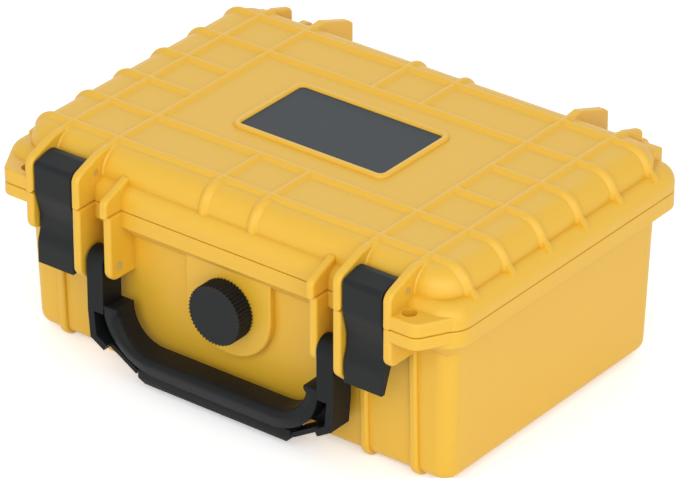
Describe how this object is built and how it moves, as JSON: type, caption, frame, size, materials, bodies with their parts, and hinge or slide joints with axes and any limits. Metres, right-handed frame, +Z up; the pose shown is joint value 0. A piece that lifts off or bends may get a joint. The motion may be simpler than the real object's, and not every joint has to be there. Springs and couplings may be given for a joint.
{
  "type": "hard case",
  "caption": "Small latched hard case with a ribbed hinged lid, two front draw latches, a folding handle, a purge valve and padlock ears.",
  "frame": {"origin": "middle of the bounding box on the surface that the case stands on", "axes": "+X to the right along the width, -Y to the front with latches, handle and valve, +Y to the hinges, +Z up"},
  "size_m": [0.206, 0.163, 0.0874],
  "materials": {
    "yellow_plastic": "satin moulded",
    "black_plastic": "satin moulded",
    "plate_plastic": "fine matt",
    "pin_steel": "plain",
    "seal_rubber": "matt"
  },
  "bodies": {
    "base": {"base_shell": "yellow_plastic", "hinge_pin_left": "pin_steel", "hinge_pin_right": "pin_steel", "handle_pin_left": "pin_steel", "handle_pin_right": "pin_steel", "valve_bush": "pin_steel", "valve_washer": "seal_rubber", "valve_lock_nut": "black_plastic"},
    "lid": {"lid_shell": "yellow_plastic", "lid_gasket": "seal_rubber", "name_plate": "plate_plastic", "latch_pin_left": "pin_steel", "latch_pin_right": "pin_steel"},
    "latch_left": {"latch_left": "black_plastic"},
    "latch_right": {"latch_right": "black_plastic"},
    "handle": {"handle": "black_plastic"},
    "valve": {"valve_knob": "black_plastic", "valve_stem": "pin_steel", "valve_seal_ring": "seal_rubber"}
  },
  "joints": [
    {"name": "lid_hinge", "type": "hinge", "parent": "base", "child": "lid", "pos_m": [0, 0.0765, 0.0665], "axis": [-1, 0, 0], "range_deg": [0, 110]},
    {"name": "latch_left_swing", "type": "hinge", "parent": "lid", "child": "latch_left", "pos_m": [-0.06995, -0.0693, 0.0795], "axis": [-1, 0, 0], "range_deg": [0, 110]},
    {"name": "latch_right_swing", "type": "hinge", "parent": "lid", "child": "latch_right", "pos_m": [0.06995, -0.0693, 0.0795], "axis": [-1, 0, 0], "range_deg": [0, 110]},
    {"name": "handle_swing", "type": "hinge", "parent": "base", "child": "handle", "pos_m": [0, -0.072, 0.0469], "axis": [-1, 0, 0], "range_deg": [0, 120]},
    {"name": "valve_turn", "type": "hinge", "parent": "base", "child": "valve", "pos_m": [0, -0.07, 0.0425], "axis": [0, -1, 0], "continuous": true}
  ]
}
